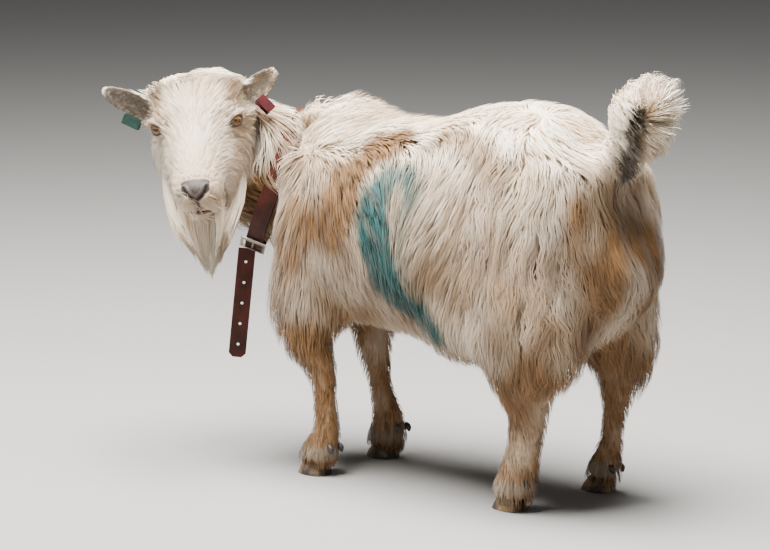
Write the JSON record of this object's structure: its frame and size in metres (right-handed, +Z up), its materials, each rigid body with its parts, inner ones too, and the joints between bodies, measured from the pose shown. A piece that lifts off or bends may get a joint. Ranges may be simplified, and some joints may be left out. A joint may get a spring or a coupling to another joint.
{
  "type": "pygmy goat",
  "caption": "Standing pygmy goat with a long cream and tan coat, head turned back to its left, tail up, with a beard, a leather collar and ear tags.",
  "frame": {"origin": "on the floor, under the middle of the outline's box seen from above", "axes": "+Z up, the trunk runs along Y with the chest towards -Y and the tail towards +Y, the goat's left side is +X"},
  "size_m": [0.4023, 0.8795, 0.5888],
  "materials": {
    "coat": "long wavy hair, cream and white with tan patches and a blue-green spray mark on the left flank",
    "eye": "wet, amber iris with a dark level slot for a pupil",
    "hoof": "dull horn, tan at the toe and dark at the heel",
    "dewclaw": "dull dark horn",
    "collar": "worn brown leather with a cut edge",
    "buckle": "tarnished, with bright worn edges",
    "tag_red": "soft red plastic, bare",
    "tag_teal": "soft blue-green plastic, bare"
  },
  "bodies": {
    "root": {"barrel": "coat", "beard": "coat", "collar_buckle": "buckle", "collar_end": "collar", "collar_strap": "collar", "dewclaw_fore_left_left": "dewclaw", "dewclaw_fore_left_right": "dewclaw", "dewclaw_fore_right_left": "dewclaw", "dewclaw_fore_right_right": "dewclaw", "dewclaw_hind_left_left": "dewclaw", "dewclaw_hind_left_right": "dewclaw", "dewclaw_hind_right_left": "dewclaw", "dewclaw_hind_right_right": "dewclaw", "ear_left": "coat", "ear_right": "coat", "ear_tag_left": "tag_red", "ear_tag_right": "tag_teal", "eye_left": "eye", "eye_right": "eye", "fore_cannon_left": "coat", "fore_cannon_right": "coat", "forequarters": "coat", "head": "coat", "hind_cannon_left": "coat", "hind_cannon_right": "coat", "hindquarters": "coat", "hock_left": "coat", "hock_right": "coat", "hoof_fore_left_left_claw": "hoof", "hoof_fore_left_right_claw": "hoof", "hoof_fore_right_left_claw": "hoof", "hoof_fore_right_right_claw": "hoof", "hoof_hind_left_left_claw": "hoof", "hoof_hind_left_right_claw": "hoof", "hoof_hind_right_left_claw": "hoof", "hoof_hind_right_right_claw": "hoof", "knee_left": "coat", "knee_right": "coat", "lower_jaw": "coat", "muzzle": "coat", "neck": "coat", "shoulder_left": "coat", "shoulder_right": "coat", "tail": "coat", "thigh_left": "coat", "thigh_right": "coat"}
  },
  "joints": []
}
